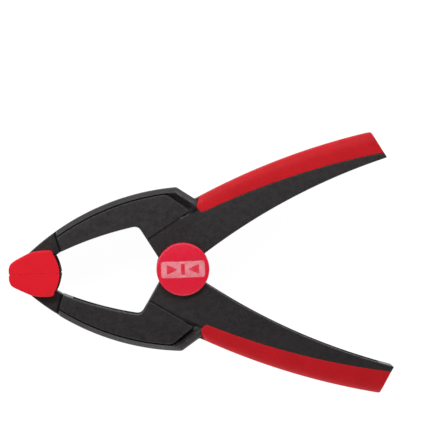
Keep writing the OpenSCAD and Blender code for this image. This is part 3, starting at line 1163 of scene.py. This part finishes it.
def surface(name, tones, cloud, patches, roughness, grain, depth, spread=0.2, streaks=None,
            worn=None, swell=None, **values):
    """A finish built from noises, each given as size in mm, detail, roughness and stretch.

    tones are two colours that drift into each other with cloud, and spread is half the part of its
    range in which they do. patches vary the roughness. grain is a fine texture with depth as
    (mm, strength). streaks is (noise, share, colour), worn is (edge window, noise, mapping, colour)
    and swell, a larger waviness, is (noise, mm, strength).
    """
    t = Tree(bpy.data.materials.new(name))
    colour = t.blend(t.map(t.noise(*cloud), 0.5 - spread, 0.5 + spread, 0, 1), *tones)
    if streaks:
        noise, share, tone = streaks
        colour = t.blend(t.map(t.noise(*noise), 0.35, 0.65, 0, share), colour, tone)
    if worn:
        window, noise, mapping, tone = worn
        rubbed = t.times(t.edges(*window), t.map(t.noise(*noise), *mapping))
        colour = t.blend(rubbed, colour, tone)
    rough = t.map(t.noise(*patches), 0.3, 0.7, *roughness)
    normal = t.bump(t.noise(*grain), *depth)
    if swell:
        noise, height, strength = swell
        normal = t.bump(t.noise(*noise), height, strength, normal)
    return t.finish(colour, rough, normal, **values)


def black_nylon(name, base, shine, roughness):
    """Glass-filled nylon: fine spark-eroded grain, faint flow marks and edges rubbed a little paler."""
    flow = (14.0, 2.0, 0.5, (0.35, 1.0, 1.0))
    return surface(
        name,
        tones=(shades(base, 0.5), shades(base, 1.5)),
        cloud=(1.0, 4.0, 0.7),
        spread=0.14,
        streaks=(flow, 0.5, shades(base, 1.35)),
        worn=((0.52, 0.62), (3.0,), (0.35, 0.6, 0, 0.5), (0.075, 0.075, 0.076)),
        patches=(2.2, 3.0),
        roughness=(roughness - 0.06, roughness + 0.06),
        grain=(0.32, 2.0, 0.6),
        depth=(0.03, 0.6),
        swell=(flow, 0.12, 0.25),
        Specular_IOR_Level=shine)


def red_rubber():
    """Soft overmould: satin skin with a fine texture, and slightly paler where a hand rubs it."""
    base = (0.53, 0.0075, 0.0135)
    cloud = (9.0, 3.0, 0.6)
    return surface(
        "red_rubber",
        tones=(shades(base, 0.9), shades(base, 1.06)),
        cloud=cloud,
        streaks=((0.9, 3.0, 0.65), 0.35, shades(base, 0.8)),
        worn=((0.51, 0.6), (4.0,), (0.35, 0.65, 0.1, 0.5), (0.62, 0.06, 0.07)),
        patches=(3.0, 3.0),
        roughness=(0.5, 0.62),
        grain=(0.4, 2.0, 0.6),
        depth=(0.03, 0.4),
        swell=(cloud, 0.15, 0.25),
        Specular_IOR_Level=0.15)


def pad_rubber():
    """Bright soft pad cover, almost flat in tone, with a matt grain."""
    base = (0.70, 0.0065, 0.0178)
    return surface(
        "pad_rubber",
        tones=(shades(base, 0.95), shades(base, 1.03)),
        cloud=(7.0, 3.0, 0.6),
        worn=((0.52, 0.62), (2.5,), (0.35, 0.65, 0, 0.4), (0.7, 0.06, 0.07)),
        patches=(1.6, 3.0),
        roughness=(0.55, 0.7),
        grain=(0.5, 3.0, 0.6),
        depth=(0.03, 0.4),
        Specular_IOR_Level=0.16)


def cap_red():
    """Bright pinkish-red moulding with a fine satin grain."""
    base = (0.73, 0.0098, 0.036)
    return surface(
        "cap_red",
        tones=(shades(base, 0.93), shades(base, 1.05)),
        cloud=(0.55, 4.0, 0.75),
        worn=((0.52, 0.6), (2.0,), (0.3, 0.6, 0.1, 0.6), (0.78, 0.12, 0.16)),
        patches=(1.2, 3.0),
        roughness=(0.28, 0.4),
        grain=(0.35, 3.0, 0.7),
        depth=(0.03, 0.5),
        Specular_IOR_Level=0.5,
        Specular_Tint=(1.0, 0.8, 1.0, 1.0))


def label_pink():
    """Smooth pale ground of the cap's sunk panel."""
    cloud = (3.0, 2.0, 0.5)
    return surface(
        "label_pink",
        tones=((0.80, 0.20, 0.24), (0.86, 0.29, 0.33)),
        cloud=cloud,
        spread=0.15,
        patches=(1.5, 2.0),
        roughness=(0.18, 0.3),
        grain=cloud,
        depth=(0.02, 0.3),
        Specular_IOR_Level=0.6)


def bare_metal(name, tones, cloud, lines, roughness, depth):
    """Bare metal whose fine tool lines show in its roughness and texture."""
    return surface(name, tones, cloud, lines, roughness, lines, depth, Metallic=1.0)


def plated_steel():
    """Zinc-plated turned steel, with fine rings left by the tool."""
    return bare_metal("plated_steel", ((0.50, 0.51, 0.53), (0.64, 0.64, 0.65)), (2.5, 4.0, 0.6),
                      (0.5, 2.0, 0.5, (1.0, 1.0, 8.0)), (0.24, 0.4), (0.01, 0.4))


def oiled_wire():
    """Drawn spring wire: dark oiled steel with drawing lines."""
    return bare_metal("oiled_wire", ((0.20, 0.20, 0.21), (0.34, 0.335, 0.33)), (5.0, 4.0, 0.6),
                      (0.4, 3.0, 0.6), (0.28, 0.42), (0.01, 0.5))


# -------- assembly

def install(obj, body, node, material, lower=False, extra=None):
    """Shades and places a piece, hangs it under its body and hides its CAD node. extra is a second
    material and the test for its faces.
    """
    obj.data.materials.clear()
    obj.data.materials.append(material)
    if extra:
        extra_material, chooser = extra
        obj.data.materials.append(extra_material)
        for p in obj.data.polygons:
            p.material_index = int(chooser(p.center))
    shade(obj)
    place(obj, lower)
    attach(obj, body)
    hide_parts(node)


nylon = black_nylon("black_nylon", (0.0156, 0.0126, 0.0134), 0.45, 0.44)
shoe_nylon = black_nylon("shoe_nylon", (0.008, 0.008, 0.008), 0.03, 0.8)
rubber = red_rubber()
soft_red = pad_rubber()
shell_red = cap_red()
pale = label_pink()
steel = plated_steel()
spring_wire = oiled_wire()

arm = arm_moulding()
grip = grip_moulding()
cover, shoe = pad_mouldings()
cap = cap_moulding()
coil = make("torsion_spring", wire(spring_path(), WIRE_R))

# Part, its upper shape, the stem of its body's name, material and slot
SIDED = (
    ("arm", arm, "arm", nylon, "body"),
    ("grip", grip, "arm", rubber, "grip"),
    ("pad_cover", cover, "pad", soft_red, "pad_cover"),
    ("pad_shoe", shoe, "pad", shoe_nylon, "pad_core"),
)
for part, shape, body, material, slot in SIDED:
    other = twin(shape, "lower_" + part + "_moulding")
    install(shape, "upper_" + body, "upper_" + part, material)
    install(other, "lower_" + body, "lower_" + part, material, lower=True)

rear_cap = twin(cap, "rear_cap_moulding")
install(cap, "lower_arm", "front_cap", shell_red, extra=(pale, in_label))
install(rear_cap, "lower_arm", "rear_cap", shell_red, lower=True, extra=(pale, in_label))

coil.data.materials.append(spring_wire)
shade(coil, 40)
place(coil)
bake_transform(coil)
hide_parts("spring")

CARRIED = {"pivot_pin": steel, "lock_ring": spring_wire, "front_washer": steel, "rear_washer": steel,
           "upper_pad_pin": steel, "lower_pad_pin": steel}
for node, material in CARRIED.items():
    obj = frame["nodes"][node]
    obj.data.materials.clear()
    obj.data.materials.append(material)
    edge = obj.modifiers.new("edge", "BEVEL")
    edge.width = 0.15 * MM
    edge.segments = 2
    edge.limit_method = "ANGLE"
    edge.angle_limit = math.radians(40)


# -------- stage

FACE_Z = PIVOT.z + PANEL_TOP * MM
VIEW_CENTRE = Vector((14.0 * MM, 21.9 * MM, FACE_Z))
# Width of the picture at the clamp, and the camera's distance from it, in metres
FIELD = 177.55 * MM
DISTANCE = 2.07
ROLL = math.radians(1.94)
# Lean of the view away from straight down, as slopes to the right and upwards
LEAN = (-0.0105, 0.013)
FLOOR_HALF = 1.6
FLOOR_DROP = 0.0001


def stage_camera():
    """A long lens that looks almost straight down on the clamp."""
    data = bpy.data.cameras.new("camera")
    data.sensor_width = 36
    data.lens = 36 * DISTANCE / FIELD
    camera = new_object("camera", data)
    up = Vector((math.sin(ROLL), math.cos(ROLL), 0))
    side = Vector((math.cos(ROLL), -math.sin(ROLL), 0))
    back = (Vector((0, 0, 1)) + LEAN[0] * side + LEAN[1] * up).normalized()
    right = up.cross(back).normalized()
    turn = Matrix((right, back.cross(right), back)).transposed().to_4x4()
    camera.matrix_world = Matrix.Translation(VIEW_CENTRE + back * DISTANCE) @ turn
    bpy.context.scene.camera = camera


def area(name, place_at, size, power):
    """A rectangular soft light aimed at the pivot."""
    data = bpy.data.lights.new(name, "AREA")
    data.shape = "RECTANGLE"
    data.size, data.size_y = size
    data.energy = power
    light = new_object(name, data)
    light.location = place_at
    light.rotation_euler = (PIVOT - Vector(place_at)).to_track_quat("-Z", "Y").to_euler()


def stage_world(level=1.05, overhead=0.05, heights=(0.3, 0.78)):
    """White surroundings, dimmer right overhead, so that flat faces stay deep and edges catch light.

    heights are the upward parts of a direction between which the brightness changes.
    """
    world = bpy.data.worlds.new("studio")
    bpy.context.scene.world = world
    t = Tree(world)
    upward = t.add("SeparateXYZ", "Z", Vector=t.places["Generated"])
    strength = t.map(upward, *heights, level, overhead)
    strength.node.interpolation_type = "SMOOTHSTEP"
    t.fill(t.nodes["Background"], {"Strength": strength, "Color": (1, 1, 1, 1)})


def stage_floor():
    """A pale floor that glows evenly, just below the clamp."""
    verts = [(x * FLOOR_HALF, y * FLOOR_HALF, 0) for x, y in ((-1, -1), (1, -1), (1, 1), (-1, 1))]
    mesh = bpy.data.meshes.new("floor")
    mesh.from_pydata(verts, [], [(0, 1, 2, 3)])
    floor = new_object("floor", mesh)
    floor.location.z = -FLOOR_DROP
    t = Tree(bpy.data.materials.new("pale_floor"))
    mesh.materials.append(t.finish((0.12, 0.12, 0.12, 1), 0.8, None, Specular_IOR_Level=0.2,
                                   Emission_Color=(1, 1, 1, 1), Emission_Strength=0.97))


stage_camera()
stage_world()
stage_floor()
# Lamps: place and size in metres, power in watts
area("key", (-0.04, 0.14, 0.21), (0.42, 0.08), 0.54)
area("fill", (0.0, -0.3, 0.55), (0.5, 0.08), 0.35)
area("low", (0.1, -0.7, 0.12), (0.9, 0.2), 1.5)
bpy.context.scene.view_settings.view_transform = "Standard"
